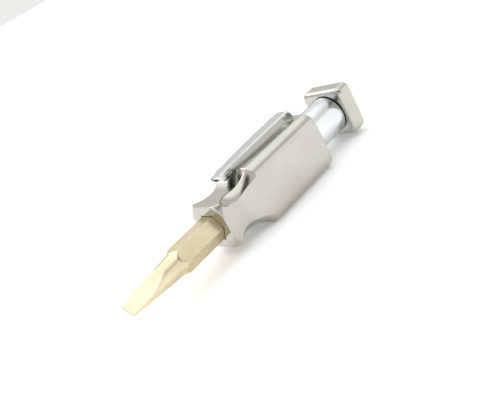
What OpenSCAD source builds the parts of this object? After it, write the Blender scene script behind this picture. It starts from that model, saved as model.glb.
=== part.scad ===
// Pocket bit screwdriver with a swivelling end cap, a pull-out bit tube and a spring clip.
// It lies on the flat side opposite the clip: the tool axis runs along X, with the blade
// towards -X, the cap towards +X and the clip on top (+Z).
// The origin is the middle of the flat underside of the square grip.

/* [Grip] */
// Width across the flats of the square grip
body_af = 15.8; // [14.6:0.1:19]
// Radius of the long corners of the grip
body_corner = 3.4; // [2.4:0.1:4.2]
// Length of the parallel part of the grip
body_len = 24.2; // [20:0.1:30]
// Chamfer on the rear edges of the grip
body_edge = 0.5; // [0.2:0.1:0.8]

/* [Nose] */
// Length of the hollowed nose
nose_len = 12.4; // [10:0.1:15]
// Width across the flats at the front of the nose
nose_af = 11.66; // [10.8:0.02:13.8]
// Width across the flats at the hollow of the nose
scoop_af = 10.6; // [10:0.1:12.6]
// Distance from the front face to that hollow
scoop_x = 7; // [4:0.1:8]
// Diameter of the finger waist turned into the corners
waist_d = 12.4; // [12:0.1:14]
// Diameter over the corners of the nose flare
flare_d = 15.4; // [14.6:0.1:16.4]
// Distance from the front face to the crest of the flare
flare_len = 1.3; // [1:0.1:2]
// Diameter over the corners at the front face
front_d = 12.7; // [11.6:0.1:14]

/* [Bit socket] */
// Width across the flats of the drive bits
bit_af = 6.35; // [5.3:0.05:7.2]
// Clearance between a bit and its hexagonal socket, on each side
bit_clear = 0.05; // [0.02:0.01:0.1]
// Depth of the socket in the nose
socket_depth = 9.6; // [8:0.1:11]
// Radius of the relief grooves in the socket corners
relief_r = 0.35; // [0.25:0.05:0.5]
// How much narrower the magnet is than the bits
magnet_less = 0.35; // [0.2:0.05:1.5]
// Magnet thickness
magnet_t = 1.5; // [1:0.1:2]
// Wall between the magnet and the bore of the grip
magnet_wall = 1.8; // [1:0.1:2.5]

/* [Slotted bit] */
// Overall length of the slotted bit
bit_len = 38; // [34:0.5:46]
// Length of the turned and ground part in front of the hexagon
blade_len = 15.5; // [12:0.5:18]
// Width of the blade at its tip
blade_w = 3.7; // [3:0.1:5]
// Thickness of the blade at its tip
blade_t = 0.7; // [0.5:0.1:1]
// How much narrower the turned part is than the hexagon, at its root
blade_less = 0.15; // [0.05:0.05:1]
// Length of the hollow-ground flats
grind_len = 11.5; // [9:0.5:12]
// Angle between the width of the blade and the underside of the grip
blade_turn = 30; // [0:30:90]

/* [Bit tube] */
// Wall of the bit sleeve at the corners of its hexagon
sleeve_wall = 0.576; // [0.3:0.002:0.7]
// Wall of the tube
tube_wall = 1.2; // [1:0.05:1.4]
// Length of the tube
tube_len = 23.35; // [20:0.05:26]
// Length of the tube that shows behind the grip
tube_out = 12.75; // [0.5:0.05:14]
// Running clearance on the tube, on each side
run_clear = 0.05; // [0.02:0.01:0.08]
// Length of the end plug in the tube
plug_len = 4; // [3:0.1:5]
// Section of the friction ring
ring_t = 0.68; // [0.6:0.02:0.8]
// Length of the spare bit
spare_len = 19; // [16:0.5:20]
// Length of the hexagon on the spare bit
spare_hex = 12; // [10:0.5:14]

/* [Guide bush] */
// Length of the bush inside the grip
bush_len = 5; // [3:0.1:8]
// Wall of the bush
bush_wall = 0.75; // [0.6:0.05:0.9]
// Width of the flange beyond the bush
flange_w = 0.9; // [0.7:0.05:1]
// Thickness of the flange
flange_t = 0.6; // [0.4:0.05:0.8]

/* [Clip] */
// Width of the clip
clip_w = 3.4; // [2.8:0.1:5]
// Thickness of the spring strip
clip_t = 0.5; // [0.4:0.05:0.6]
// Height of the crown of the clip above the grip
clip_rise = 2.15; // [1.7:0.05:2.6]
// Radius of the long bow of the clip
clip_bow = 210; // [140:5:240]
// Distance from the rear of the grip to the tip of the clip
clip_len = 29; // [26:0.5:31]
// Outer radius of the rear bend
clip_bend = 1.9; // [1.6:0.1:2.3]
// Clearance around the foot of the clip and under its ears
clip_clear = 0.06; // [0.04:0.01:0.1]
// Distance from the tip of the clip to the middle of its ears
ear_back = 2.5; // [2.2:0.1:3.5]
// Radius of the rounded edge of an ear
ear_r = 3.05; // [2.2:0.05:3.5]
// Depth of that round below the strip
ear_drop = 2.1; // [1.6:0.1:2.6]
// Height of an ear below the strip, down to its flat edge
ear_high = 1.85; // [1.4:0.05:2.2]

/* [Cap] */
// Width across the flats of the cap
cap_af = 13.8; // [12.4:0.1:15.8]
// Radius of the corners of the cap
cap_corner = 2.2; // [1.6:0.1:3]
// Thickness of the cap
cap_t = 5.2; // [4.6:0.1:6.5]
// Chamfer on the edges of the cap
cap_edge = 0.9; // [0.4:0.1:1.1]
// Thickness of the thrust washer between tube and cap
washer_t = 0.35; // [0.25:0.05:0.6]
// Wall of the cap in front of its counterbore
cap_wall = 2.3; // [1.8:0.1:2.6]
// Diameter of the shoulder of the swivel screw
pivot_d = 3.4; // [2.8:0.1:4]
// Diameter of the screw thread
thread_d = 2.4; // [2:0.1:2.6]
// Diameter of the screw head
head_d = 6.2; // [5.4:0.1:6.6]
// Thickness of the screw head
head_t = 1.2; // [0.9:0.1:1.4]
// Diameter of the cover disc
disc_d = 8; // [7.2:0.1:8.6]
// Thickness of the cover disc
disc_t = 0.8; // [0.6:0.1:1]

/* [Hidden] */
$fn = 64;
eps = 0.01;

// Stations along the tool, measured from the front face of the nose
rear = nose_len + body_len;
tube_rear = rear + tube_out;
tube_front = tube_rear - tube_len;
cap_front = tube_rear + washer_t;
cap_rear = cap_front + cap_t;
bore_floor = socket_depth + magnet_t + magnet_wall;
bit_rear = socket_depth - 0.1;
bit_front = bit_rear - bit_len;
hex_front = bit_front + blade_len;

// Height of the tool axis above the surface that it lies on
axis_z = body_af / 2;
nose_x = -nose_len - body_len / 2;

// Radii measured from the tool axis
corner_r = sqrt(2) * (body_af / 2 - body_corner) + body_corner;
cap_corner_r = sqrt(2) * (cap_af / 2 - cap_corner) + cap_corner;
socket_af = bit_af + 2 * bit_clear;
tube_bore_r = socket_af / 2 / cos(30) + sleeve_wall;
tube_d = 2 * (tube_bore_r + tube_wall);
bore_r = tube_d / 2 + run_clear;
bush_r = bore_r + bush_wall;
flange_r = bush_r + flange_w;
magnet_d = bit_af - magnet_less;
blade_root_d = bit_af - blade_less;
big = 3 * body_af;

// The waist is one arc through the flare crest and the start of the grip's corners.
// flare_step and corner_step are the heights of those two points above the waist.
flare_step = (flare_d - waist_d) / 2;
corner_step = corner_r - waist_d / 2;
waist_span = nose_len - flare_len;
step_ratio = corner_step / flare_step;
waist_root = pow(waist_span, 2)
    - (step_ratio - 1) * (flare_step * corner_step - pow(corner_step, 2) - pow(waist_span, 2));
waist_back = (sqrt(waist_root) - waist_span) / (step_ratio - 1);
waist_x = flare_len + waist_back;
waist_arc_r = (pow(waist_back, 2) + pow(flare_step, 2)) / (2 * flare_step);

// The hollow of each flat is an arc that ends where the parallel grip starts
scoop_rise = (body_af - scoop_af) / 2;
scoop_arc_r = (pow(nose_len - scoop_x, 2) + pow(scoop_rise, 2)) / (2 * scoop_rise);
scoop_fall = (nose_af - scoop_af) / 2 / scoop_x;

// Clip stations: the foot stands in a notch in the rear face, held by the bush flange
foot_x = rear - clip_clear;
bend_x = foot_x - clip_bend;
bow_x = bend_x - 6.2;
crown = body_af / 2 + clip_rise;
bend_angle = asin((bend_x - bow_x) / (clip_bow - clip_bend));
bend_z = crown - clip_bow + (clip_bow - clip_bend) * cos(bend_angle);
tip_x = rear - clip_len;
ear_x = tip_x + ear_back;
foot_z = bush_r + clip_clear;
toe_w = clip_w + 2;
toe_h = 0.65;

// Axial stations in the tube
sleeve_front = tube_front + 0.8;
plug_front = tube_rear - plug_len;
spare_front = tube_front + 0.3;
ring_x = tube_front + 2.2;
groove_r = bore_r - run_clear / 4 - ring_t;

// Axial stations in the cap
seat_x = cap_front + cap_wall;
spring_t = 0.3;
head_front = seat_x + spring_t + 0.05;

// Places its child, drawn along +Z, on the tool axis at station x
module at_x(x) {
    translate([nose_x + x, 0, axis_z]) rotate([0, 90, 0]) children();
}

// Square with round corners, made of plain shapes
module round_square(af, r) {
    square([af - 2 * r, af], center = true);
    square([af, af - 2 * r], center = true);
    for (sx = [-1, 1], sy = [-1, 1])
        translate([sx * (af / 2 - r), sy * (af / 2 - r)]) circle(r);
}

// Hexagon with two corners on the Y axis
module hexagon(af) {
    rotate(30) circle(d = af / cos(30), $fn = 6);
}

// Bars that chamfer the four straight edges at station x
module edge_bars(x, af, edge) {
    side = edge * sqrt(2);
    for (k = [0 : 3])
        translate([nose_x + x, 0, axis_z]) rotate([90 * k, 0, 0])
            translate([0, 0, af / 2]) rotate([0, 45, 0]) cube([side, af + 2, side], center = true);
}

// Turned envelope of the grip: front chamfer, flare, waist, rear chamfer
module body_envelope() {
    at_x(0) rotate_extrude($fn = 96) difference() {
        square([corner_r + 1, rear]);
        translate([waist_d / 2 + waist_arc_r, waist_x]) circle(waist_arc_r, $fn = 160);
        translate([flare_d / 2, -1]) square([corner_r, 1 + waist_x]);
        polygon([[front_d / 2, -eps], [flare_d / 2 + eps, flare_len], [flare_d, -eps]]);
        polygon([[corner_r - body_edge, rear + eps], [corner_r + 2, rear - body_edge - 2],
                 [corner_r + 2, rear + eps]]);
    }
}

// Side view of the space above the hollowed nose, raised by room
module scoop_side(room) {
    polygon([[-1, nose_af / 2 + scoop_fall + room], [scoop_x, scoop_af / 2 + room],
             [scoop_x, big], [-1, big]]);
    translate([scoop_x, scoop_af / 2 + scoop_arc_r]) circle(scoop_arc_r - room, $fn = 160);
}

// Cuts that hollow the four flats of the nose
module nose_cuts() {
    for (k = [0 : 3])
        translate([nose_x, 0, axis_z]) rotate([90 * k, 0, 0]) rotate([90, 0, 0])
            linear_extrude(big, center = true) scoop_side(0);
}

// Hexagonal socket with relieved corners, and the magnet's pocket
module socket_cut() {
    corner = socket_af / 2 / cos(30);
    at_x(-eps) linear_extrude(socket_depth + eps) hexagon(socket_af);
    for (k = [0 : 5])
        at_x(-eps) rotate(30 + 60 * k) translate([corner - relief_r / 2, 0, 0])
            cylinder(r = relief_r, h = socket_depth, $fn = 24);
    at_x(-eps) cylinder(r1 = corner + 0.25, r2 = corner - 0.35, h = 0.6);
    at_x(socket_depth - eps) cylinder(d = magnet_d, h = magnet_t + eps);
}

// Foot outline of the clip, looking along the tool, with room all round
module foot_outline(room) {
    translate([-clip_w / 2 - room, foot_z - room]) square([clip_w + 2 * room, body_af]);
    translate([-toe_w / 2 - room, foot_z - room]) square([toe_w + 2 * room, toe_h + 2 * room]);
}

module body() {
    color("#d3d2cd") difference() {
        intersection() {
            at_x(0) linear_extrude(rear) round_square(body_af, body_corner);
            body_envelope();
        }
        nose_cuts();
        edge_bars(rear, body_af, body_edge);
        socket_cut();
        at_x(bore_floor) cylinder(r = bore_r, h = rear);
        at_x(rear - bush_len) cylinder(r = bush_r, h = bush_len + eps);
        translate([nose_x + foot_x - clip_t - clip_clear, 0, axis_z]) rotate([90, 0, 90])
            linear_extrude(clip_t + 2 * clip_clear + 1) foot_outline(clip_clear);
    }
}

// Hexagonal stock between two stations, its corners chamfered at both ends
module hex_stock(x0, x1, edge) {
    corner = bit_af / 2 / cos(30);
    intersection() {
        at_x(x0) linear_extrude(x1 - x0) hexagon(bit_af);
        at_x(x0) rotate_extrude() polygon([[0, 0], [corner - edge, 0], [corner, 2 * edge],
            [corner, x1 - x0 - edge], [corner - edge, x1 - x0], [0, x1 - x0]]);
    }
}

module slotted_bit() {
    root_half = blade_root_d / 2 - 0.2;
    rise = root_half - blade_t / 2;
    grind_r = (pow(grind_len, 2) + pow(rise, 2)) / (2 * rise);
    notch_x = bit_rear - 3;
    color("#cfc6ac") difference() {
        union() {
            hex_stock(hex_front, bit_rear, 0.5);
            at_x(bit_front) cylinder(d1 = blade_w, d2 = blade_root_d, h = blade_len + 0.5);
        }
        translate([nose_x + bit_front, 0, axis_z]) rotate([blade_turn, 0, 0])
            for (side = [-1, 1])
                translate([0, 0, side * (blade_t / 2 + grind_r)])
                    rotate([90, 0, 0]) cylinder(r = grind_r, h = 10, center = true, $fn = 128);
        at_x(notch_x) rotate_extrude() translate([bit_af / 2 + 0.75, 0]) circle(0.6, $fn = 32);
    }
}

module socket_magnet() {
    color("#8f9193") at_x(socket_depth) cylinder(d = magnet_d, h = magnet_t);
}

module guide_bush() {
    color("#c8c7c2") at_x(rear - bush_len) difference() {
        union() {
            cylinder(r = bush_r, h = bush_len + flange_t);
            translate([0, 0, bush_len]) cylinder(r = flange_r, h = flange_t);
        }
        translate([0, 0, -eps]) cylinder(r = bore_r, h = bush_len + flange_t + 1);
    }
}

// Height of the top of the bow above the axis, at station x
function bow_z(x) = crown - clip_bow + sqrt(pow(clip_bow, 2) - pow(x - bow_x, 2));

// Side view of the strip and its rear bend, x along the tool and y above the axis
module clip_side() {
    low = crown - clip_bow;
    intersection() {
        translate([bow_x, low]) difference() {
            circle(clip_bow, $fn = 720);
            circle(clip_bow - clip_t, $fn = 720);
        }
        translate([tip_x, 0]) square([bend_x + clip_bend * sin(bend_angle) - tip_x, 2 * crown]);
    }
    intersection() {
        translate([bend_x, bend_z]) difference() {
            circle(clip_bend, $fn = 96);
            circle(clip_bend - clip_t, $fn = 96);
        }
        translate([bend_x + (clip_bend - clip_t) * sin(bend_angle), bend_z])
            square(2 * clip_bend);
    }
    translate([foot_x - clip_t, foot_z + toe_h / 2]) square([clip_t, bend_z - foot_z - toe_h / 2]);
}

// Side view of one ear: a round lobe with a flat edge, kept clear of the grip and nose
module ear_side() {
    ear_top = bow_z(ear_x) - clip_t / 2;
    intersection() {
        translate([ear_x, ear_top - ear_drop + ear_r]) circle(ear_r, $fn = 128);
        translate([ear_x - ear_r, ear_top - ear_high]) square([2 * ear_r, ear_high]);
        union() {
            scoop_side(clip_clear);
            translate([0, body_af / 2 + clip_clear]) square([rear, body_af]);
        }
    }
}

module clip() {
    color("#d8d9d8") {
        translate([nose_x, clip_w / 2, axis_z]) rotate([90, 0, 0])
            linear_extrude(clip_w) clip_side();
        for (side = [0, 1])
            translate([nose_x, clip_w / 2 - side * (clip_w - clip_t), axis_z]) rotate([90, 0, 0])
                linear_extrude(clip_t) ear_side();
        translate([nose_x + foot_x - clip_t, -toe_w / 2, axis_z + foot_z])
            cube([clip_t, toe_w, toe_h]);
    }
}

module tube() {
    color("#d6dcde") at_x(tube_front) difference() {
        cylinder(d = tube_d, h = tube_len);
        translate([0, 0, -eps]) cylinder(r = tube_bore_r, h = tube_len + 1);
        translate([0, 0, ring_x - tube_front]) rotate_extrude()
            translate([groove_r, -ring_t / 2]) square([tube_wall, ring_t]);
    }
}

module friction_ring() {
    color("#2a2a2b") at_x(ring_x) rotate_extrude()
        translate([groove_r + ring_t / 2, 0]) circle(ring_t / 2, $fn = 32);
}

module tube_plug() {
    color("#c2c3c2") at_x(plug_front) difference() {
        cylinder(r = tube_bore_r, h = plug_len);
        translate([0, 0, -eps]) cylinder(d = thread_d, h = plug_len + 1);
    }
}

module bit_sleeve() {
    color("#3b3c3e") difference() {
        at_x(sleeve_front) cylinder(r = tube_bore_r, h = plug_front - sleeve_front);
        at_x(sleeve_front - eps) linear_extrude(spare_hex + 1) hexagon(socket_af);
        at_x(sleeve_front + spare_hex) cylinder(d = bit_af, h = spare_len - spare_hex);
    }
}

// The spare bit lies with its cross tip inwards, the hexagon at the mouth of the tube
module spare_bit() {
    spare_rear = spare_front + spare_len;
    shank_x = spare_front + spare_hex;
    color("#c9c2ac") difference() {
        union() {
            hex_stock(spare_front, shank_x, 0.4);
            at_x(shank_x - 0.5) cylinder(d = bit_af - 0.45, h = spare_len - spare_hex - 2.5);
            at_x(spare_rear - 3) cylinder(d1 = bit_af - 0.45, d2 = 1.6, h = 3);
        }
        for (k = [0 : 3])
            translate([nose_x + spare_rear, 0, axis_z]) rotate([90 * k + 45, 0, 0])
                translate([-3.5, 0.45, 0.45]) rotate([0, 0, 12]) rotate([0, -12, 0]) cube([6, 4, 4]);
    }
}

module thrust_washer() {
    color("#dedbd0") at_x(tube_rear) difference() {
        cylinder(r = tube_bore_r, h = washer_t - 0.02);
        translate([0, 0, -eps]) cylinder(d = pivot_d, h = washer_t + 1);
    }
}

module swivel_screw() {
    color("#b9b9b7") difference() {
        union() {
            at_x(tube_rear - plug_len + 0.6) cylinder(d = thread_d, h = plug_len);
            at_x(tube_rear) cylinder(d = pivot_d, h = head_front - tube_rear + eps);
            at_x(head_front) cylinder(d = head_d, h = head_t);
        }
        at_x(head_front + head_t - 0.8) linear_extrude(1) hexagon(2.5);
    }
}

module spring_washer() {
    color("#a9aaa8") at_x(seat_x + 0.02) difference() {
        cylinder(d = head_d + 0.8, h = spring_t);
        translate([0, 0, -eps]) cylinder(d = pivot_d, h = spring_t + 1);
    }
}

module cap() {
    color("#d5d4cf") difference() {
        intersection() {
            at_x(cap_front) linear_extrude(cap_t) round_square(cap_af, cap_corner);
            at_x(cap_front) rotate_extrude($fn = 96) polygon([[0, 0],
                [cap_corner_r - cap_edge, 0], [cap_corner_r, cap_edge],
                [cap_corner_r, cap_t - cap_edge], [cap_corner_r - cap_edge, cap_t], [0, cap_t]]);
        }
        edge_bars(cap_front, cap_af, cap_edge);
        edge_bars(cap_rear, cap_af, cap_edge);
        at_x(cap_front - eps) cylinder(d = pivot_d + 2 * run_clear, h = cap_t);
        at_x(seat_x) cylinder(d = disc_d, h = cap_t);
    }
}

module cover_disc() {
    color("#d0cfca") at_x(cap_rear - disc_t) cylinder(d = disc_d, h = disc_t);
}

body();
slotted_bit();
socket_magnet();
guide_bush();
clip();
tube();
tube_plug();
friction_ring();
bit_sleeve();
spare_bit();
thrust_washer();
swivel_screw();
spring_washer();
cap();
cover_disc();
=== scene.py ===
# %% [markdown]
# # Pocket bit screwdriver
# A small square screwdriver lies on a white table: a plated grip, a slotted bit in its nose,
# a spring clip on top, and a round bit tube with a swivelling square cap.
# The measured solids come first, because every visible piece takes its place from them.

# %% Load the measured model
import math

import bpy
import numpy as np
from mathutils import Matrix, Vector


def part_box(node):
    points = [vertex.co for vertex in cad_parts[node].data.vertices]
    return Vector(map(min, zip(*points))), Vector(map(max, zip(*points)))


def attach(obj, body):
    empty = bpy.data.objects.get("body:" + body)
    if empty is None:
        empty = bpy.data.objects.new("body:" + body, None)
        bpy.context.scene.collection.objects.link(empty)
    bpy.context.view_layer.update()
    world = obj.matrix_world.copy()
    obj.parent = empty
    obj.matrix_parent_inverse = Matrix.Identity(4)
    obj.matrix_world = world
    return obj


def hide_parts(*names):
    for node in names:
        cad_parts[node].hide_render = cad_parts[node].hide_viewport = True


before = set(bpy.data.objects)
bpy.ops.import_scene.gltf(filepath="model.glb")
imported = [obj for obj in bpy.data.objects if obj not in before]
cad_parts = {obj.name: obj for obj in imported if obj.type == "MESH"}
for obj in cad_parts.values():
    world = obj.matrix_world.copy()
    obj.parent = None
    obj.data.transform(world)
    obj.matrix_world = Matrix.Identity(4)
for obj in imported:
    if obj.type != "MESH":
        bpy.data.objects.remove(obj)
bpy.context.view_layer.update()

# %% [markdown]
# Shapes are worked out in millimetres along the tool: x runs back from the front face of the
# nose, and y and z are measured from the tool's axis. One function moves points into the scene.

# %% Tool coordinates
grip_low, grip_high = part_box("body")
NOSE_X = grip_low[0]
AXIS_Z = (grip_low[2] + grip_high[2]) / 2
MM = 0.001


def to_scene(points):
    """Tool millimetres to scene metres: x starts at the nose, z at the tool's axis."""
    return np.asarray(points, float) * MM + np.array([NOSE_X, 0.0, AXIS_Z])


def station(node, end):
    """Where a node starts (end 0) or stops (end 1) along the tool, in millimetres."""
    return (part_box(node)[end][0] - NOSE_X) / MM


def half_size(node):
    """Half of a node's height, in millimetres."""
    low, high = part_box(node)
    return (high[2] - low[2]) / 2 / MM


REAR = station("body", 1)
print("grip: %.1f mm long, axis %.1f mm above the table" % (REAR, AXIS_Z / MM))

# %% [markdown]
# The camera stands low on the blade's side and is rolled, so the tool runs up across the
# picture from lower left to upper right. Its place is in millimetres and its turns in degrees.

# %% Camera
CAMERA_AT = np.array([-98.576, -122.616, 68.959]) * MM
CAMERA_TURN, CAMERA_RISE, CAMERA_ROLL = np.radians([-35.358, 22.618, -29.572])


def camera_axes(turn, rise, roll):
    """Right, up and backward directions of a camera that looks inwards from turn and rise."""
    back = np.array([math.sin(turn) * math.cos(rise), -math.cos(turn) * math.cos(rise),
                     math.sin(rise)])
    level = np.array([math.cos(turn), math.sin(turn), 0.0])
    upright = np.cross(back, level)
    right = level * math.cos(roll) + upright * math.sin(roll)
    return right, np.cross(back, right), back


def placed(axes, place):
    """Blender's matrix for three axis directions (right, up, backward) and a place."""
    made = np.eye(4)
    made[:3, :3] = np.transpose(axes)
    made[:3, 3] = place
    return Matrix(made.tolist())


camera_data = bpy.data.cameras.new("camera")
camera_data.sensor_width = 36
camera_data.lens = 48.25
camera_data.clip_start = 0.005
camera_data.clip_end = 20
camera = bpy.data.objects.new("camera", camera_data)
camera.matrix_world = placed(camera_axes(CAMERA_TURN, CAMERA_RISE, CAMERA_ROLL), CAMERA_AT)
bpy.context.scene.collection.objects.link(camera)
bpy.context.scene.camera = camera
print("camera %.0f mm from the origin" % (np.linalg.norm(CAMERA_AT) / MM))

# %% [markdown]
# Every piece is a skin of rings. A ring is a closed row of points round the tool, and its
# distance from the axis may change with the angle, so one function covers squares, hexagons
# and turned parts. Faces between rings come from index arrays, without a loop over points.

# %% Skins made of rings
ROUND = 512
angle = np.linspace(0, 2 * np.pi, ROUND, endpoint=False)


def ring_stack(x, radius, around=None):
    """Points (x, radius cos a, radius sin a): row i is a ring at x[i], a runs from +Y to +Z."""
    around = angle if around is None else around
    x = np.asarray(x, float).reshape(-1, 1)
    radius = np.broadcast_to(radius, (len(x), len(around)))
    return np.stack([np.broadcast_to(x, radius.shape), radius * np.cos(around),
                     radius * np.sin(around)], axis=2)


def skin(rings, loop=False):
    """Vertices and faces of a closed skin. Ring i joins ring i+1 by quads.

    A loop joins the last ring to the first. Otherwise a fan of triangles to the mean point
    closes each end. Faces are turned outwards by the sign of the enclosed volume.
    """
    n, m, _ = rings.shape
    points = rings.reshape(-1, 3)
    i = np.arange(n if loop else n - 1)[:, None]
    j = np.arange(m)[None, :]
    a, b = i * m + j, i * m + (j + 1) % m
    c, d = (i + 1) % n * m + (j + 1) % m, (i + 1) % n * m + j
    quads = np.stack([a, b, c, d], axis=2).reshape(-1, 4)
    fans = np.zeros((0, 3), int)
    if not loop:
        points = np.vstack([points, rings[0].mean(axis=0), rings[-1].mean(axis=0)])
        row = np.arange(m)
        first = np.stack([np.full(m, n * m), (row + 1) % m, row], axis=1)
        last = (n - 1) * m
        second = np.stack([np.full(m, n * m + 1), last + row, last + (row + 1) % m], axis=1)
        fans = np.vstack([first, second])
    triangles = np.vstack([quads[:, :3], quads[:, [0, 2, 3]], fans])
    p, q, r = (points[triangles[:, k]] for k in range(3))
    if np.einsum("ij,ij->i", p, np.cross(q, r)).sum() < 0:
        quads, fans = quads[:, ::-1], fans[:, ::-1]
    return points, quads, fans


def piece(name, skins, body, node, material):
    """One mesh object from several skins. It rides on body and stands for the CAD node."""
    points, faces, start = [], [], 0
    for part_points, quads, fans in skins:
        points.append(part_points)
        faces += (quads + start).tolist() + (fans + start).tolist()
        start += len(part_points)
    mesh = bpy.data.meshes.new(name)
    mesh.from_pydata(to_scene(np.vstack(points)).tolist(), [], faces)
    mesh.shade_smooth()
    mesh.materials.append(material)
    made = bpy.data.objects.new(name, mesh)
    bpy.context.scene.collection.objects.link(made)
    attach(made, body)
    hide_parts(node)
    print("%s: %d faces" % (name, len(faces)))
    return made


def soft_min(a, b, blend):
    """The smaller of a and b. Where they differ by less than blend, a parabola rounds it."""
    near = np.clip(blend - np.abs(a - b), 0, None) / blend
    return np.minimum(a, b) - near ** 2 * blend / 4


def steps(*spans):
    """Stations along one axis: each span is (start, stop, count), and stops aren't repeated."""
    return np.concatenate([np.linspace(a, b, n, endpoint=False) for a, b, n in spans])


# %% [markdown]
# ## Finishes
# Polished plating hides almost all its colour in what it reflects, so each metal is a base
# colour, a roughness that wanders a little, and a very shallow bump at the real scale of its
# casting skin or tool marks. One small function adds a node, and colours are sRGB hex.

# %% Colours and nodes
def linear(code):
    """sRGB hex to linear RGBA by the standard curve."""
    value = np.array([int(code[i:i + 2], 16) for i in (1, 3, 5)]) / 255
    curve = np.where(value <= 0.04045, value / 12.92, ((value + 0.055) / 1.055) ** 2.4)
    return (*curve.tolist(), 1.0)


def add(tree, kind, links=None, values=None, **settings):
    """Adds one node: settings are its properties, values its sockets, links its inputs."""
    made = tree.nodes.new(kind)
    for key, value in settings.items():
        setattr(made, key, value)
    for socket, value in (values or {}).items():
        made.inputs[socket].default_value = value
    for socket, source in (links or {}).items():
        tree.links.new(source, made.inputs[socket])
    return made


def new_material(name):
    """An empty material with its output and a Principled shader."""
    made = bpy.data.materials.new(name)
    made.use_nodes = True
    tree = made.node_tree
    tree.nodes.clear()
    shader = add(tree, "ShaderNodeBsdfPrincipled")
    add(tree, "ShaderNodeOutputMaterial", {"Surface": shader.outputs["BSDF"]})
    return made, tree, shader


def pattern(tree, size_mm, detail=2.0):
    """Noise whose cells are size_mm = (x, y, z) millimetres across, on Object coordinates."""
    place = add(tree, "ShaderNodeTexCoord")
    scaled = add(tree, "ShaderNodeMapping", {"Vector": place.outputs["Object"]},
                 {"Scale": tuple(1000.0 / size for size in size_mm)})
    return add(tree, "ShaderNodeTexNoise", {"Vector": scaled.outputs["Vector"]},
               {"Scale": 1.0, "Detail": detail, "Roughness": 0.55})


def spread(tree, source, low, high):
    """Maps noise from its usual 0.3 to 0.7 onto low to high."""
    return add(tree, "ShaderNodeMapRange", {"Value": source},
               {"From Min": 0.3, "From Max": 0.7, "To Min": low, "To Max": high})


def finish(name, light, dark, rough, grain_mm, depth_mm, cloud_mm=(9, 6, 6), metallic=1.0):
    """A procedural finish: two colours in clouds, roughness rough = (low, high) in the grain,
    and a bump of that grain depth_mm deep."""
    made, tree, shader = new_material(name)
    cloud = pattern(tree, cloud_mm, 3.0)
    grain = pattern(tree, grain_mm, 3.0)
    share = spread(tree, cloud.outputs["Fac"], 0, 1)
    tone = add(tree, "ShaderNodeMix", {"Factor": share.outputs[0]}, data_type="RGBA")
    tone.inputs["A"].default_value = linear(dark)
    tone.inputs["B"].default_value = linear(light)
    tree.links.new(tone.outputs["Result"], shader.inputs["Base Color"])
    both = add(tree, "ShaderNodeMath", {0: cloud.outputs["Fac"], 1: grain.outputs["Fac"]},
               operation="ADD")
    half = add(tree, "ShaderNodeMath", {0: both.outputs[0]}, {1: 0.5}, operation="MULTIPLY")
    tree.links.new(spread(tree, half.outputs[0], *rough).outputs[0], shader.inputs["Roughness"])
    bump = add(tree, "ShaderNodeBump", {"Height": grain.outputs["Fac"]},
               {"Strength": 1.0, "Distance": depth_mm * MM})
    tree.links.new(bump.outputs["Normal"], shader.inputs["Normal"])
    shader.inputs["Metallic"].default_value = metallic
    return made


# %% The metals
# Die-cast zinc, polished by hand and plated with nickel: a warm grey mirror, softened by a
# casting skin about 1 mm from wave to wave.
cast_nickel = finish("polished_nickel_on_cast_zinc", "#C0BFB8", "#B9B8B0", (0.13, 0.19),
                     (1.4, 1.1, 1.1), 0.0006)
# Rolled spring steel under bright nickel: neutral and smoother, with faint lengthwise lines.
strip_nickel = finish("bright_nickel_on_spring_steel", "#D5D6D5", "#CBCDCD", (0.10, 0.17),
                      (3.0, 0.12, 0.12), 0.0004)
# Hardened tool steel under thin nickel: noticeably yellow, with fine cutter marks across.
bit_nickel = finish("warm_nickel_on_tool_steel", "#E0D5B8", "#D2C6A6", (0.24, 0.36),
                    (0.16, 0.9, 0.9), 0.0012)
# Drawn aluminium tube: bluish white, fine rings left by the polishing wheel.
drawn_aluminium = finish("polished_drawn_aluminium", "#DFE4E6", "#D3D9DC", (0.17, 0.25),
                         (0.10, 4.0, 4.0), 0.0005)
# Turned brass under nickel, for the guide bush: rings from the lathe.
turned_nickel = finish("nickel_on_turned_brass", "#D6D2C6", "#C9C5B8", (0.16, 0.26),
                       (0.12, 3.0, 3.0), 0.0008)
# Bare turned aluminium, for the end plug: greyer, with the feed marks of the tool.
turned_aluminium = finish("bare_turned_aluminium", "#C6C8C9", "#B5B8BA", (0.26, 0.38),
                          (0.15, 2.5, 2.5), 0.0015)
# Sintered magnet under nickel: slightly grainy.
magnet_nickel = finish("nickel_on_sintered_magnet", "#B9BABC", "#A6A7AA", (0.24, 0.36),
                       (0.25, 0.25, 0.25), 0.0015)
# Zinc-plated screw steel: a dull white grey with cold-heading grain.
zinc_steel = finish("zinc_plated_screw_steel", "#BFC1C3", "#A9ACB0", (0.26, 0.40),
                    (0.3, 0.3, 0.3), 0.0012)
# Tempered spring steel, for the waved washer: straw and blue oxide over grey.
tempered_steel = finish("tempered_spring_steel", "#9C9078", "#6E7480", (0.28, 0.40),
                        (0.4, 0.4, 0.4), 0.0010, (2.5, 2.5, 2.5))
print("nine metals")

# %% The plastics and rubber
# Moulded nitrile rubber: black, dull, with a fine spark-eroded mould grain.
nitrile = finish("moulded_nitrile_rubber", "#26262A", "#17171A", (0.55, 0.72),
                 (0.08, 0.08, 0.08), 0.004, metallic=0.0)
# Moulded acetal, black for the bit sleeve and natural white for the thrust washer.
black_acetal = finish("black_moulded_acetal", "#303236", "#222427", (0.34, 0.48),
                      (0.2, 0.2, 0.2), 0.003, metallic=0.0)
natural_acetal = finish("natural_moulded_acetal", "#7E7A70", "#6C685F", (0.34, 0.46),
                        (0.3, 0.3, 0.3), 0.002, metallic=0.0)
print("three polymers")

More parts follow.
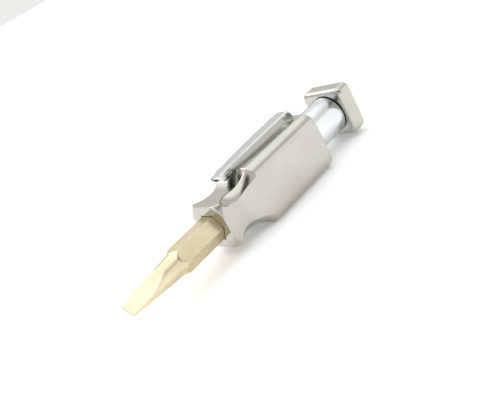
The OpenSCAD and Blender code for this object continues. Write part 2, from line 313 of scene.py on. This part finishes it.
# %% [markdown]
# ## Grip
# The grip is a square bar with big round corners. The four flats of its nose are hollowed,
# while a turning cut narrows the corners to a finger waist. Booleans could cut this, but a
# formula gives clean soft edges: at every station the distance from the axis is the smallest
# of the bar, the hollowed flats and the turned waist, blended where they meet.

# %% Grip shape
BAR, BAR_CORNER = half_size("body"), 3.4
NOSE, NOSE_HALF = 12.4, 5.83
SCOOP_X, SCOOP_HALF = 7.0, 5.3
FRONT_R, FLARE_R, FLARE_X, WAIST_R = 6.35, 7.7, 1.3, 6.2
BORE_R, BUSH_R, BUSH_LEN, BORE_END = 5.55, 6.3, 5, 13.0
SCOOP_ARC_R = ((NOSE - SCOOP_X) ** 2 + (BAR - SCOOP_HALF) ** 2) / (2 * (BAR - SCOOP_HALF))
AXLE = 0.3  # radius at which a flat bottom closes to its middle point
ABSENT = 99.0  # a radius so large that it never is the smallest


def square_radius(half, corner, around=None):
    """Distance from the axis to a square with round corners: half / cos(a) on a flat, and the
    far root of |p - centre| = corner on a corner arc."""
    around = angle if around is None else around
    fold = np.abs((around + np.pi / 4) % (np.pi / 2) - np.pi / 4)
    inner = half - corner
    reach = inner * (np.cos(fold) + np.sin(fold))
    arc = reach + np.sqrt(np.clip(reach ** 2 - 2 * inner ** 2 + corner ** 2, 0, None))
    return np.where(np.tan(fold) * half <= inner, half / np.cos(fold), arc)


def waist_radius(x):
    """Turned profile over the corners: a cone to the flare, then one arc that touches the
    waist radius and passes the flare crest and the start of the bar's corners."""
    crest = FLARE_R - WAIST_R
    corner = math.sqrt(2) * (BAR - BAR_CORNER) + BAR_CORNER - WAIST_R
    span, ratio = NOSE - FLARE_X, corner / crest
    root = span ** 2 - (ratio - 1) * (crest * corner - corner ** 2 - span ** 2)
    back = (math.sqrt(root) - span) / (ratio - 1)
    arc_r = (back ** 2 + crest ** 2) / (2 * crest)
    drop = np.clip(arc_r ** 2 - (x - FLARE_X - back) ** 2, 0, None)
    cone = FRONT_R + (FLARE_R - FRONT_R) * x / FLARE_X
    return soft_min(cone, WAIST_R + arc_r - np.sqrt(drop), 0.10)


def scoop_half(x):
    """Half width across the hollowed flats: a line down to the hollow, then an arc of radius
    (span^2 + rise^2) / (2 rise) that starts level there and climbs to the bar."""
    ahead = NOSE_HALF + (SCOOP_HALF - NOSE_HALF) * x / SCOOP_X
    past = np.clip(x - SCOOP_X, 0, NOSE - SCOOP_X)
    climb = SCOOP_ARC_R - np.sqrt(SCOOP_ARC_R ** 2 - past ** 2)
    return np.where(x < SCOOP_X, ahead, SCOOP_HALF + climb)


def grip_radius(x):
    """The smallest of bar, hollow and waist at stations x, with soft edges between them.

    The hollow is a mean over three near stations, which rounds its end. Well behind the nose
    the waist no longer counts.
    """
    x = np.asarray(x, float).reshape(-1, 1)
    hollow_half = (scoop_half(x - 0.15) + scoop_half(x) + scoop_half(x + 0.15)) / 3
    flats = hollow_half / np.maximum(np.abs(np.cos(angle)), np.abs(np.sin(angle)))
    square = square_radius(BAR, BAR_CORNER)[None, :] + 0 * x
    waisted = soft_min(square, waist_radius(x), 0.16)
    bar = np.minimum(np.where(x > NOSE + 3.0, ABSENT, waisted), square)
    return soft_min(bar, flats, 0.10)


def fillet(radius, count):
    """Offsets (along, inwards) of a quarter circle, from the end face to the side."""
    t = np.linspace(0, np.pi / 2, count)
    return radius * (1 - np.cos(t)), radius * (1 - np.sin(t))


print("grip radius at the waist: %.2f mm" % grip_radius([5.1])[0].max())

# %% [markdown]
# The bit sits in a hexagonal socket. A small round relief in each corner of the hexagon lets
# the sharp edges of a bit go in, and these reliefs show as dark dots round the bit.

# %% Hexagons
BIT = half_size("slotted_bit")
BIT_CLEAR = 0.05
SOCKET = BIT + BIT_CLEAR
MAGNET_R, LEAD = 3.0, 0.3
SOCKET_END = station("socket_magnet", 0)
MAGNET_END = station("socket_magnet", 1)


def hex_radius(half, around=None):
    """Distance to a hexagon with corners on +Y and -Y: half / cos(angle from the flat)."""
    around = angle if around is None else around
    return half / np.cos(around % (np.pi / 3) - np.pi / 6)


def socket_radius(half, relief=0.35):
    """A hexagon with a round groove in each corner."""
    off = (angle + np.pi / 6) % (np.pi / 3) - np.pi / 6
    centre = half / math.cos(math.pi / 6) - relief / 2
    inside = relief ** 2 - (centre * np.sin(off)) ** 2
    groove = np.where(inside > 0, centre * np.cos(off) + np.sqrt(np.clip(inside, 0, None)), 0)
    return np.maximum(hex_radius(half), groove)


def between(inner, outer, shares):
    """Radii between two outlines, one row for each share."""
    shares = np.asarray(shares, float).reshape(-1, 1)
    return inner + (outer - inner) * shares


# %% Grip rings
# Rings stand closest at the flare and where the hollow ends, because the shape bends there.
FRONT_EDGE, REAR_EDGE = 0.22, 0.5
along, inward = fillet(FRONT_EDGE, 7)
rear_along, rear_inward = fillet(REAR_EDGE, 9)
side_x = steps((FRONT_EDGE, 2.2, 20), (2.2, NOSE - 0.6, 56), (NOSE - 0.6, NOSE + 0.6, 26),
               (NOSE + 0.6, REAR - REAR_EDGE, 9))
side = grip_radius(side_x)
front_edge = grip_radius(along)
rear_edge = grip_radius(np.full(9, REAR - REAR_EDGE))
mouth = socket_radius(SOCKET)
lead_x, lead_in = fillet(LEAD, 7)
grip_rings = [
    ring_stack([MAGNET_END, MAGNET_END, SOCKET_END], np.array([[AXLE], [MAGNET_R], [MAGNET_R]])),
    ring_stack([SOCKET_END] * 2, between(MAGNET_R, mouth, [0.5, 1])),
    ring_stack(steps((SOCKET_END - 0.1, LEAD, 6)), mouth + np.zeros((6, 1))),
    ring_stack(lead_x[::-1], mouth + lead_in[::-1, None]),
    ring_stack([0.0] * 8, between(mouth + lead_in[0], front_edge[0] - inward[0],
                                  np.linspace(0.02, 0.98, 8))),
    ring_stack(along, front_edge - inward[:, None]),
    ring_stack(side_x, side),
    ring_stack((REAR - rear_along)[::-1], (rear_edge - rear_inward[:, None])[::-1]),
    ring_stack([REAR] * 12, between(BUSH_R, rear_edge[0] - REAR_EDGE, np.linspace(0.98, 0, 12))),
    ring_stack([REAR - 0.1, REAR - BUSH_LEN, REAR - BUSH_LEN, REAR - BUSH_LEN - 0.1, BORE_END,
                BORE_END - 0.1, BORE_END - 0.1],
               np.array([[BUSH_R], [BUSH_R], [BORE_R], [BORE_R], [BORE_R], [BORE_R], [AXLE]])),
]
grip_points, grip_quads, grip_fans = skin(np.concatenate(grip_rings))

# %% [markdown]
# The clip's foot stands in a shallow notch in the rear face: a slot for the strip, and a wider
# one for the toes at its end. The points of the skin that lie in the notch are pushed forward
# to its floor, and the factor 0.02 keeps them in order there.

# %% Notch for the clip, and the grip piece
CLIP_HALF, CLIP_T, CLIP_CLEAR = 1.7, 0.5, 0.06
TOE_HALF, TOE_TOP = 2.7, 7.01
NOTCH_DEEP, NOTCH_ROOM, NOTCH_TOP = 0.62, 0.16, 7.2
notch_floor = REAR - NOTCH_DEEP
x, y, z = grip_points.T
slot = np.abs(y) < CLIP_HALF + NOTCH_ROOM
toe_slot = (np.abs(y) < TOE_HALF + NOTCH_ROOM) & (z < NOTCH_TOP)
in_notch = (z > BUSH_R - 0.01) & (slot | toe_slot) & (x > notch_floor)
grip_points[in_notch, 0] = notch_floor + (x[in_notch] - notch_floor) * 0.02
piece("grip_shell", [(grip_points, grip_quads, grip_fans)], "grip", "body", cast_nickel)

# %% [markdown]
# ## Cap
# The cap is the same square idea, shorter and with a full round edge, and it is hollow: a
# small hole for the swivel screw and a counterbore that a flush disc closes from behind.

# %% Cap
CAP, CAP_CORNER, CAP_EDGE = half_size("cap"), 2.1, 1.3
CAP_WALL, CAP_HOLE, CAP_BORE = 2.3, 1.75, 4.0
cap_x0, cap_x1 = station("cap", 0), station("cap", 1)
edge_x, edge_in = fillet(CAP_EDGE, 12)
rounded = np.stack([square_radius(CAP - i, CAP_CORNER - i) for i in edge_in])
plain = square_radius(CAP, CAP_CORNER)
cap_rings = [
    ring_stack([cap_x0 + CAP_WALL, cap_x0 + 0.1, cap_x0 + 0.02, cap_x0],
               CAP_HOLE + np.array([[0], [0], [0.03], [0.1]])),
    ring_stack([cap_x0] * 7, between(CAP_HOLE + 0.1, rounded[0], np.linspace(0.1, 0.985, 7))),
    ring_stack(cap_x0 + edge_x, rounded),
    ring_stack(steps((cap_x0 + CAP_EDGE + 0.1, cap_x1 - CAP_EDGE, 6)),
               plain + np.zeros((6, 1))),
    ring_stack((cap_x1 - edge_x)[::-1], rounded[::-1]),
    ring_stack([cap_x1] * 5, between(CAP_BORE + 0.06, rounded[0], np.linspace(0.97, 0, 5))),
    ring_stack([cap_x1 - 0.03, cap_x1 - 0.1, cap_x0 + CAP_WALL + 0.1, cap_x0 + CAP_WALL],
               CAP_BORE + np.array([[0.01], [0], [0], [0]])),
]
piece("cap_shell", [skin(np.concatenate(cap_rings), loop=True)], "swivel_cap", "cap", cast_nickel)

# %% [markdown]
# ## Turned parts
# Tube, bush, plug, washers, ring, magnet, disc and screw are all turned. Each one is a list
# of corners (x, radius) walked round its section, and every corner is cut by a tiny arc,
# because a real machined edge is never sharp and it is the edge that catches the light.

# %% Turned profiles
def soften(corners, radius=0.06, count=4, closed=True):
    """Replaces each corner by a short quadratic curve that leaves its sides radius away."""
    corners = np.asarray(corners, float)
    out = []
    for k, here in enumerate(corners):
        if not closed and k in (0, len(corners) - 1):
            out.append(here[None, :])
            continue
        before, after = corners[k - 1], corners[(k + 1) % len(corners)]
        ends = []
        for other in (before, after):
            away = other - here
            length = np.linalg.norm(away)
            ends.append(here + away / length * min(radius, length * 0.45))
        t = np.linspace(0, 1, count)[:, None]
        out.append((1 - t) ** 2 * ends[0] + 2 * t * (1 - t) * here + t ** 2 * ends[1])
    return np.concatenate(out)


LATHE = np.linspace(0, 2 * np.pi, 160, endpoint=False)


def turned_skin(corners, radius=0.06, closed=True):
    """A profile of (x, radius) corners spun round the tool's axis."""
    profile = soften(corners, radius, closed=closed)
    return skin(ring_stack(profile[:, 0], profile[:, 1:], LATHE), loop=closed)


def hollow(x0, x1, inner, outer):
    """Section corners of a plain tube."""
    return [(x0, inner), (x0, outer), (x1, outer), (x1, inner)]


def solid(x0, x1, outer):
    """Section corners of a plain disc, starting and ending near the axis."""
    return [(x0, 0.02), (x0, outer), (x1, outer), (x1, 0.02)]


TUBE = half_size("tube")
tube_x0, tube_x1 = station("tube", 0), station("tube", 1)
SLEEVE = half_size("bit_sleeve")
RING_T = 0.68
ring_x = (station("friction_ring", 0) + station("friction_ring", 1)) / 2
ring_x0, ring_x1 = ring_x - RING_T / 2, ring_x + RING_T / 2
groove_r = half_size("friction_ring") - RING_T
piece("tube_shell", [turned_skin(
    [(tube_x0, SLEEVE), (tube_x0, TUBE), (ring_x0, TUBE), (ring_x0, groove_r),
     (ring_x1, groove_r), (ring_x1, TUBE), (tube_x1, TUBE), (tube_x1, SLEEVE)], 0.09)],
    "bit_store", "tube", drawn_aluminium)

# %% Bush, plug, washers, magnet and disc
SHOULDER_R, PLUG_HOLE = 1.7, 1.2
bush_x0, bush_x1 = station("guide_bush", 0), station("guide_bush", 1)
FLANGE = half_size("guide_bush")
piece("bush_turned", [turned_skin(
    [(bush_x0, BORE_R), (bush_x0, BUSH_R), (REAR, BUSH_R), (REAR, FLANGE), (bush_x1, FLANGE),
     (bush_x1, BORE_R)], 0.12)], "grip", "guide_bush", turned_nickel)
plug_x0, plug_x1 = station("tube_plug", 0), station("tube_plug", 1)
piece("plug_turned", [turned_skin(hollow(plug_x0, plug_x1, PLUG_HOLE, SLEEVE), 0.1)],
      "bit_store", "tube_plug", turned_aluminium)
for name, node, inner, body, material in (
        ("thrust_ring", "thrust_washer", SHOULDER_R, "bit_store", natural_acetal),
        ("friction_band", "friction_ring", groove_r, "bit_store", nitrile)):
    piece(name, [turned_skin(hollow(station(node, 0), station(node, 1), inner, half_size(node)),
                             0.2 if material is nitrile else 0.05)], body, node, material)
for name, node, body, material in (
        ("magnet_disc", "socket_magnet", "grip", magnet_nickel),
        ("cover_plate", "cover_disc", "swivel_cap", cast_nickel)):
    piece(name, [turned_skin(solid(station(node, 0), station(node, 1), half_size(node)), 0.05,
                             closed=False)], body, node, material)

# %% [markdown]
# The spring washer is waved on the real tool: three low hills press the cap forward so that
# it turns with a light drag. The wave is a cosine of the angle added to its thickness line.

# %% Waved washer
wave_x0, wave_x1 = station("spring_washer", 0), station("spring_washer", 1)
WAVE_HIGH, HILLS = 0.02, 3
wave = WAVE_HIGH * np.cos(HILLS * LATHE)
profile = soften(hollow(wave_x0 + WAVE_HIGH, wave_x1 - WAVE_HIGH, SHOULDER_R,
                        half_size("spring_washer")), 0.05)
wave_rings = ring_stack(profile[:, 0], profile[:, 1:], LATHE)
wave_rings[:, :, 0] += wave
piece("waved_washer", [skin(wave_rings, loop=True)], "bit_store", "spring_washer", tempered_steel)

# %% [markdown]
# ## Swivel screw
# A shoulder screw: its thread holds in the plug, its shoulder is the pivot, and its low head
# has a hexagonal recess. The thread is a row of fine ridges.

# %% Swivel screw
screw_x0, screw_x1 = station("swivel_screw", 0), station("swivel_screw", 1)
HEAD, HEAD_T = half_size("swivel_screw"), 1.2
THREAD_R, RIDGE, PITCH = 1.12, 0.08, 0.45
RECESS, RECESS_DEEP = 1.25, 0.8
head_x = screw_x1 - HEAD_T
thread_x = np.linspace(screw_x0 + 0.15, plug_x1 - 0.05, 60)
thread_r = THREAD_R + RIDGE * np.cos(2 * np.pi * thread_x / PITCH)
screw_profile = np.vstack([
    [(screw_x0, 0.02), (screw_x0, 1.0)], np.stack([thread_x, thread_r], axis=1),
    soften([(plug_x1, 1.15), (plug_x1, SHOULDER_R), (head_x, SHOULDER_R), (head_x, HEAD),
            (screw_x1, HEAD), (screw_x1, 2.0)], 0.08, closed=False)])
recess = hex_radius(RECESS, LATHE)
screw_rings = [ring_stack(screw_profile[:, 0], screw_profile[:, 1:], LATHE),
               ring_stack(screw_x1 - np.array([0, 0.04, RECESS_DEEP, RECESS_DEEP]),
                          np.stack([recess + 0.04, recess, recess, recess * 0.02]), LATHE)]
piece("pivot_screw", [skin(np.concatenate(screw_rings))], "bit_store", "swivel_screw", zinc_steel)

# %% [markdown]
# ## Bits
# A drive bit starts as hexagonal bar. The shoulder is turned to a cone, and two hollow-ground
# faces thin it to the blade. The radius at each angle is again the smallest of these shapes.

# %% Slotted bit
bit_x0, bit_x1 = station("slotted_bit", 0), station("slotted_bit", 1)
HEX_CORNER = BIT / math.cos(math.pi / 6)
BLADE_W, BLADE_T, ROOT = 3.7, 0.7, 3.1
BLADE_LEN, GRIND_LEN = 15.5, 11.5
GROOVE_R, GROOVE_BACK, GROOVE_UP = 0.6, 3, 0.75
hex_x0 = bit_x0 + BLADE_LEN
BLADE_TURN = math.radians(30)


def stock_radius(x, x0, x1, front, back):
    """Hexagonal bar from x0 to x1 with its corners turned off by a cone at both ends."""
    ahead = HEX_CORNER - front + (x - x0) / 2
    behind = HEX_CORNER - back + (x1 - x)
    return soft_min(soft_min(hex_radius(BIT)[None, :] + 0 * x, ahead, 0.08), behind, 0.08)


def bit_radius(x):
    """Hexagon behind the shoulder, cone in front of it, thinned by the two ground faces."""
    x = np.asarray(x, float).reshape(-1, 1)
    cone = BLADE_W / 2 + (ROOT - BLADE_W / 2) * (x - bit_x0) / (hex_x0 + 0.5 - bit_x0)
    rise = ROOT - 0.2 - BLADE_T / 2
    grind = (GRIND_LEN ** 2 + rise ** 2) / (2 * rise)
    past = np.clip(x - bit_x0, 0, GRIND_LEN)
    thin = BLADE_T / 2 + grind - np.sqrt(grind ** 2 - past ** 2)
    thin = np.where(x - bit_x0 < GRIND_LEN, thin, ABSENT)
    blade = soft_min(cone + 0 * angle, thin / np.abs(np.sin(angle - BLADE_TURN) + 1e-9), 0.07)
    groove = np.clip(GROOVE_R ** 2 - (x - bit_x1 + GROOVE_BACK) ** 2, 0, None)
    ring = np.where(groove > 0, BIT + GROOVE_UP - np.sqrt(groove), ABSENT)
    stock = np.minimum(stock_radius(x, hex_x0, bit_x1, 0.5, 0.5), ring)
    return np.where(x < hex_x0, blade, np.maximum(stock, np.where(x < hex_x0 + 0.5, blade, 0)))


bit_x = steps((bit_x0 + 0.05, bit_x0 + 12, 70), (bit_x0 + 12, hex_x0, 16),
              (hex_x0 + 1e-4, hex_x0 + 1.6, 16), (hex_x0 + 1.6, bit_x1 - 4, 6),
              (bit_x1 - 4, bit_x1 - 0.02, 40))
body_r = bit_radius(bit_x)
bit_rings = [ring_stack([bit_x0, bit_x0], np.stack([body_r[0] * 0.05, body_r[0] * 0.97])),
             ring_stack(bit_x, body_r), ring_stack([bit_x1, bit_x1], np.array([[3.1], [0.05]]))]
piece("slotted_bit_ground", [skin(np.concatenate(bit_rings))], "bit", "slotted_bit", bit_nickel)

# %% [markdown]
# The spare bit stands in the tube with its cross tip inwards. Four flutes are a dip in the
# radius between the wings, deeper towards the tip.

# %% Spare bit
spare_x0, spare_x1 = station("spare_bit", 0), station("spare_bit", 1)
SPARE_HEX, FLUTE_LEN, FLUTE_DEEP = 12, 5.0, 0.62


def spare_radius(x):
    """Hexagon, round shank, then a cone whose radius dips four times round."""
    x = np.asarray(x, float).reshape(-1, 1)
    stock = stock_radius(x, spare_x0, spare_x0 + SPARE_HEX, 0.4, 0.4)
    shank = soft_min(BIT - 0.23 + 0 * x, 0.8 + (spare_x1 - x) * 0.72, 0.1)
    depth = np.clip(1 - (spare_x1 - x) / FLUTE_LEN, 0, 1) ** 0.7
    wings = np.abs(np.cos(2 * angle)) ** 0.8
    fluted = shank * (1 - FLUTE_DEEP * depth * (1 - wings))
    return np.where(x < spare_x0 + SPARE_HEX, np.maximum(stock, fluted), fluted)


spare_x = steps((spare_x0 + 0.01, spare_x0 + 1, 10), (spare_x0 + 1, spare_x1 - 7.4, 6),
                (spare_x1 - 7.4, spare_x1 - 0.02, 46))
spare_r = spare_radius(spare_x)
spare_rings = [ring_stack([spare_x0], spare_r[:1] * 0.05), ring_stack(spare_x, spare_r),
               ring_stack([spare_x1], spare_r[-1:] * 0.05)]
piece("spare_cross_bit", [skin(np.concatenate(spare_rings))], "spare", "spare_bit", bit_nickel)

# %% Bit sleeve
sleeve_x0, sleeve_x1 = station("bit_sleeve", 0), station("bit_sleeve", 1)
pocket = hex_radius(SOCKET)
sleeve_rings = [
    ring_stack([sleeve_x0 + 0.1, sleeve_x0], np.stack([pocket, pocket + 0.1])),
    ring_stack([sleeve_x0, sleeve_x0 + 0.1, sleeve_x1 - 0.1, sleeve_x1],
               np.array([[SLEEVE - 0.1], [SLEEVE], [SLEEVE], [SLEEVE - 0.1]])),
    ring_stack([sleeve_x1, sleeve_x0 + SPARE_HEX + 0.1, sleeve_x0 + SPARE_HEX],
               np.array([[BIT]] * 3)),
    ring_stack([sleeve_x0 + SPARE_HEX], pocket[None, :])]
piece("sleeve_moulded", [skin(np.concatenate(sleeve_rings), loop=True)], "bit_store",
      "bit_sleeve", black_acetal)

# %% [markdown]
# ## Clip
# The clip is one strip of spring steel: a long low bow, a tight bend at the rear and a foot.
# Two ears folded down near its tip press on the nose. The strip is a small rounded section
# carried along that path, and the section is slightly crowned, as a stamped clip is.

# %% Clip path
FOOT_X = REAR - CLIP_CLEAR
BOW, BEND, CLIP_RISE, CROWN_AHEAD = 210.0, 1.9, 2.15, 6.2
bend_x, bow_x, crown = FOOT_X - BEND, FOOT_X - BEND - CROWN_AHEAD, BAR + CLIP_RISE
bend_turn = math.asin((bend_x - bow_x) / (BOW - BEND))
bend_z = crown - BOW + (BOW - BEND) * math.cos(bend_turn)
tip_x = station("clip", 0)
tip_turn = math.asin((tip_x - bow_x) / BOW)


def arc_path(cx, cz, radius, start, stop, count):
    """Centre line and outward normal of an arc, its angle counted from +Z towards +X."""
    t = np.linspace(start, stop, count)
    out = np.stack([np.sin(t), np.cos(t)], axis=1)
    return np.array([cx, cz]) + radius * out, out


tip_t = tip_turn + np.array([0, 0.02, 0.06, 0.12, 0.2, 0.3, 0.45]) / BOW
bow_t = np.concatenate([tip_t, np.linspace(tip_turn + 0.6 / BOW, bend_turn, 90)])
bow_out = np.stack([np.sin(bow_t), np.cos(bow_t)], axis=1)
bow_line = np.array([bow_x, crown - BOW]) + (BOW - CLIP_T / 2) * bow_out
bend_line, bend_out = arc_path(bend_x, bend_z, BEND - CLIP_T / 2, bend_turn, math.pi / 2, 26)
foot_z = np.linspace(bend_z - 0.05, BUSH_R + CLIP_CLEAR, 16)
foot_line = np.stack([np.full(16, FOOT_X - CLIP_T / 2), foot_z], axis=1)
foot_out = np.tile([1.0, 0.0], (16, 1))
line = np.vstack([bow_line, bend_line[1:], foot_line])
out = np.vstack([bow_out, bend_out[1:], foot_out])
run = np.concatenate([[0], np.cumsum(np.linalg.norm(np.diff(line, axis=0), axis=1))])
print("clip strip: %.1f mm unrolled" % run[-1])

# %% Clip strip
ACROSS = 72
turn = np.linspace(0, 2 * np.pi, ACROSS, endpoint=False)


def strip_section():
    """A flat rounded rectangle of half sizes 1 and 1, as (across, up): the clipped cosine and
    sine of the angle, steep enough to leave only the corners round."""
    c, s = np.cos(turn), np.sin(turn)
    return (np.sign(c) * np.clip(np.abs(c) * 1.25, 0, 1),
            np.sign(s) * np.clip(np.abs(s) * 4.5, 0, 1))


TIP_CORNER, TIP_EDGE, CROWNING = 0.45, 0.1, 0.09
UNCROWNED, FADE = 6.0, 4.0
wide = CLIP_HALF + np.clip((TOE_TOP - line[:, 1]) / 0.12, 0, 1) * (line[:, 0] > bend_x)
nip = np.clip(TIP_CORNER - run, 0, TIP_CORNER)
wide = wide - TIP_CORNER + np.sqrt(TIP_CORNER ** 2 - nip ** 2)
nip = np.clip(TIP_EDGE - run, 0, None)
thin = CLIP_T / 2 - TIP_EDGE + np.sqrt(np.clip(TIP_EDGE ** 2 - nip ** 2, 0, None))
section_y, section_n = strip_section()
rows = wide[:, None] * section_y[None, :]
fade = np.clip((run[-1] - UNCROWNED - run) / FADE, 0, 1)[:, None]
lift = thin[:, None] * section_n[None, :] - CROWNING * fade * (rows / CLIP_HALF) ** 2
strip = np.stack([line[:, :1] + out[:, :1] * lift, rows, line[:, 1:] + out[:, 1:] * lift], axis=2)

# %% [markdown]
# Each ear is a round lobe with a flat edge that hangs in the hollow of the nose. Its outline
# is a distance from a point inside it, the smallest of arc, top, flat edge and a chord that
# clears the hollow, drawn through the sheet's thickness.

# %% Clip ears
EAR_BACK, EAR_R, EAR_DROP, EAR_HIGH = 2.5, 3.05, 2.1, 1.85
ear_x = tip_x + EAR_BACK
ear_top = crown - BOW + math.sqrt(BOW ** 2 - (ear_x - bow_x) ** 2) - CLIP_T / 2
ear_mid = ear_top - 0.7
ear_low = ear_top - EAR_HIGH
low_gap = SCOOP_HALF + SCOOP_ARC_R - ear_low
chord_x = SCOOP_X + math.sqrt((SCOOP_ARC_R - CLIP_CLEAR) ** 2 - low_gap ** 2)
print("ear: flat edge %.1f mm above the axis, chord from x = %.1f mm" % (ear_low, chord_x))
LOBE = np.linspace(0, 2 * np.pi, 120, endpoint=False)


def ear_outline(inset):
    """Outline of an ear, inset from its edge. At each angle it is the nearest of the arc, the
    top, the flat bottom and a chord that stays above the climbing hollow of the nose."""
    dx, dz = np.cos(LOBE), np.sin(LOBE)
    centre_z = ear_top - EAR_DROP + EAR_R - ear_mid
    reach = dz * centre_z
    arc = reach + np.sqrt(reach ** 2 - centre_z ** 2 + EAR_R ** 2)
    top = np.where(dz > 0.05, (ear_top - ear_mid) / np.maximum(dz, 0.05), ABSENT)
    bottom = np.where(dz < -0.05, (ear_low - ear_mid) / np.minimum(dz, -0.05), ABSENT)
    slope = (BAR + CLIP_CLEAR - ear_low) / (NOSE - chord_x)
    drop = dz - slope * dx
    chord_z = ear_low + slope * (ear_x - chord_x)
    chord = np.where(drop < -0.05, (chord_z - ear_mid) / np.minimum(drop, -0.05), ABSENT)
    reach = soft_min(soft_min(arc, top, 0.1), soft_min(bottom, chord, 0.1), 0.12)
    return ear_x + (reach - inset) * dx, ear_mid + (reach - inset) * dz


def ear(side):
    """One ear: outline rings from its inner to its outer face, with a rounded outer edge."""
    outer, inner = CLIP_HALF - 0.02, CLIP_HALF - CLIP_T + 0.02
    rings = []
    for depth, inset in ((inner, 0.7), (inner, 0.06), (inner + 0.06, 0.0), (outer - 0.10, 0.0),
                         (outer - 0.03, 0.03), (outer, 0.10), (outer, 0.7)):
        ex, ez = ear_outline(inset)
        rings.append(np.stack([ex, np.full_like(ex, side * depth), ez], axis=1))
    return skin(np.array(rings))


piece("clip_strip", [skin(strip), ear(1), ear(-1)], "spring_clip", "clip", strip_nickel)

# %% [markdown]
# ## Table and light
# The table is a pale matte sheet, lit a little from below so that shadows stay close to the
# tool. The light is a white tent, brightest overhead and low on one side, with one dark card
# above the camera: polished metal needs something dark to reflect, or its edges disappear.

# %% Table
sheet_data = bpy.data.meshes.new("table_sheet")
sheet_data.from_pydata([(-9, -9, 0), (9, -9, 0), (9, 9, 0), (-9, 9, 0)], [], [(0, 1, 2, 3)])
table = bpy.data.objects.new("table_sheet", sheet_data)
bpy.context.scene.collection.objects.link(table)
paper, tree, shader = new_material("matte_white_paper")
fibre = pattern(tree, (0.6, 0.6, 0.6), 3.0)
shade = add(tree, "ShaderNodeMix", {"Factor": fibre.outputs["Fac"]}, data_type="RGBA")
shade.inputs["A"].default_value = linear("#FDFDFC")
shade.inputs["B"].default_value = linear("#FAFAFA")
tree.links.new(shade.outputs["Result"], shader.inputs["Base Color"])
for socket, value in (("Roughness", 0.9), ("Specular IOR Level", 0.1),
                      ("Emission Color", linear("#FFFFFF")), ("Emission Strength", 0.14)):
    shader.inputs[socket].default_value = value
sheet_data.materials.append(paper)

# %% Light tent
world = bpy.data.worlds.new("tent")
bpy.context.scene.world = world
world.use_nodes = True
tree = world.node_tree
tree.nodes.clear()
sky = add(tree, "ShaderNodeTexCoord")


def towards(turn, rise):
    """Unit direction at turn degrees round from -Y towards +X, and rise degrees up."""
    turn, rise = math.radians(turn), math.radians(rise)
    return np.array([math.sin(turn) * math.cos(rise), -math.cos(turn) * math.cos(rise),
                     math.sin(rise)])


def oval(turn, rise, wide, high, soft):
    """1 inside an oval of half angles wide and high round a direction, 0 outside it.

    It sums the squares of the two sideways components over the squares of their limits, and
    lets only the front half of the sky through.
    """
    centre = towards(turn, rise)
    side = np.array([math.cos(math.radians(turn)), math.sin(math.radians(turn)), 0.0])
    parts = []
    for direction, limit in ((side, wide), (np.cross(side, centre), high)):
        scaled = direction / math.sin(math.radians(limit))
        parts.append(add(tree, "ShaderNodeVectorMath", {0: sky.outputs["Generated"]},
                         {1: tuple(scaled.tolist())}, operation="DOT_PRODUCT").outputs["Value"])
    squares = [add(tree, "ShaderNodeMath", {0: part}, {1: 2.0}, operation="POWER").outputs[0]
               for part in parts]
    total = add(tree, "ShaderNodeMath", {0: squares[0], 1: squares[1]}, operation="ADD")
    inside = add(tree, "ShaderNodeMapRange", {"Value": total.outputs[0]},
                 {"From Min": 1 + soft, "From Max": 1 - soft, "To Min": 0.0, "To Max": 1.0},
                 interpolation_type="SMOOTHSTEP")
    facing = add(tree, "ShaderNodeVectorMath", {0: sky.outputs["Generated"]},
                 {1: tuple(centre.tolist())}, operation="DOT_PRODUCT")
    front = add(tree, "ShaderNodeMath", {0: facing.outputs["Value"]}, {1: 0.0},
                operation="GREATER_THAN")
    return add(tree, "ShaderNodeMath", {0: inside.outputs[0], 1: front.outputs[0]},
               operation="MULTIPLY").outputs[0]


# Each patch: turn, rise, half angles wide and high in degrees, softness and colour.
PATCHES = ((170, 78, 46, 46, 0.30, "#FBFBFD"),
           (42, 14, 40, 17, 0.30, "#EAE9E6"),
           (-35, 46, 40, 9, 0.25, "#3B3632"))
TENT_STRENGTH = 1.6
tent = None
for *oval_shape, code in PATCHES:
    layer = add(tree, "ShaderNodeMix", {"Factor": oval(*oval_shape)}, data_type="RGBA")
    if tent is None:
        layer.inputs["A"].default_value = linear("#C2C1BE")
    else:
        tree.links.new(tent.outputs["Result"], layer.inputs["A"])
    layer.inputs["B"].default_value = linear(code)
    tent = layer
glow = add(tree, "ShaderNodeBackground", {"Color": tent.outputs["Result"]},
           {"Strength": TENT_STRENGTH})
add(tree, "ShaderNodeOutputWorld", {"Surface": glow.outputs["Background"]})


def soft_box(name, place, aim, size, power):
    """A square area light at place, facing aim, in metres and watts."""
    data = bpy.data.lights.new(name, "AREA")
    data.size, data.energy = size, power
    lamp = bpy.data.objects.new(name, data)
    bpy.context.scene.collection.objects.link(lamp)
    back = np.array(place, float) - np.array(aim, float)
    back /= np.linalg.norm(back)
    right = np.cross([0, 0, 1.0], back)
    right /= np.linalg.norm(right)
    lamp.matrix_world = placed((right, np.cross(back, right), back), place)


soft_box("soft_box_behind", (-0.10, 0.45, 0.60), (0, 0, 0.008), 0.35, 0.8)
bpy.context.scene.view_settings.view_transform = "Standard"
print("table, tent and one soft box")
